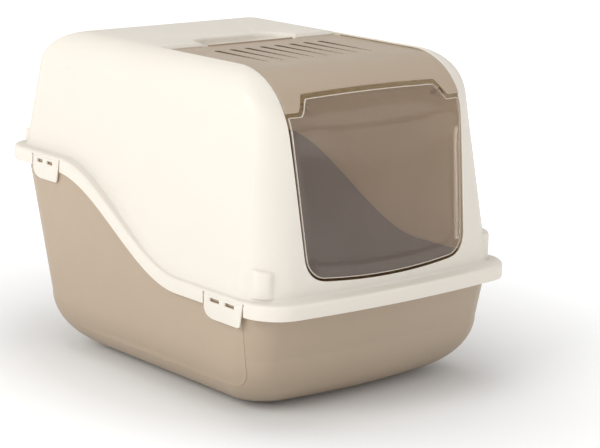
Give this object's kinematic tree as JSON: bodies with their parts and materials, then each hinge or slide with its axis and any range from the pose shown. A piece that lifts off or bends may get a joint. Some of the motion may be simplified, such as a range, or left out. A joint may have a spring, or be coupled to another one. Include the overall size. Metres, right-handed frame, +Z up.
{
  "type": "cat litter box with hood",
  "caption": "Hooded cat litter box: deep tray, lift-off hood with snap clips, see-through swing door and vented flip-up visor over a filter.",
  "frame": {"origin": "on the floor, under the middle of the bounding box", "axes": "+Z up, the door faces -Y, +X to the right of someone who looks at the door"},
  "size_m": [0.39, 0.54, 0.3943],
  "materials": {
    "hood_white": "satin white polypropylene",
    "tray_beige": "satin beige polypropylene",
    "door_smoke": "clear smoke-brown plastic",
    "pin_beige": "moulded pins",
    "filter_black": "open carbon fleece"
  },
  "bodies": {
    "tray": {"litter_tray": "tray_beige"},
    "hood": {"hood": "hood_white"},
    "clip_front_left": {"clip_front_left": "hood_white"},
    "clip_front_right": {"clip_front_right": "hood_white"},
    "clip_rear_left": {"clip_rear_left": "hood_white"},
    "clip_rear_right": {"clip_rear_right": "hood_white"},
    "visor": {"top_visor": "tray_beige", "filter_cover": "tray_beige", "carbon_filter": "filter_black", "visor_pin_left": "pin_beige", "visor_pin_right": "pin_beige"},
    "door": {"swing_door": "door_smoke", "door_pin_left": "pin_beige", "door_pin_right": "pin_beige"}
  },
  "joints": [
    {"name": "hood_lift", "type": "slide", "parent": "tray", "child": "hood", "axis": [0, 0, 1], "range_m": [0, 0.16]},
    {"name": "clip_front_left_flex", "type": "hinge", "parent": "hood", "child": "clip_front_left", "pos_m": [-0.195, -0.1805, 0.1407], "axis": [0, 1, 0], "range_deg": [0, 25], "stiffness_Nm_per_rad": 0.05},
    {"name": "clip_front_right_flex", "type": "hinge", "parent": "hood", "child": "clip_front_right", "pos_m": [0.195, -0.1805, 0.1407], "axis": [0, -1, 0], "range_deg": [0, 25], "stiffness_Nm_per_rad": 0.05},
    {"name": "clip_rear_left_flex", "type": "hinge", "parent": "hood", "child": "clip_rear_left", "pos_m": [-0.195, 0.17225, 0.2407], "axis": [0, 1, 0], "range_deg": [0, 25], "stiffness_Nm_per_rad": 0.05},
    {"name": "clip_rear_right_flex", "type": "hinge", "parent": "hood", "child": "clip_rear_right", "pos_m": [0.195, 0.17225, 0.2407], "axis": [0, -1, 0], "range_deg": [0, 25], "stiffness_Nm_per_rad": 0.05},
    {"name": "visor_flip", "type": "hinge", "parent": "hood", "child": "visor", "pos_m": [0, -0.1985, 0.3525], "axis": [1, 0, 0], "range_deg": [0, 90]},
    {"name": "door_swing", "type": "hinge", "parent": "visor", "child": "door", "pos_m": [0, -0.1985, 0.3525], "axis": [1, 0, 0], "range_deg": [-60, 70]}
  ]
}
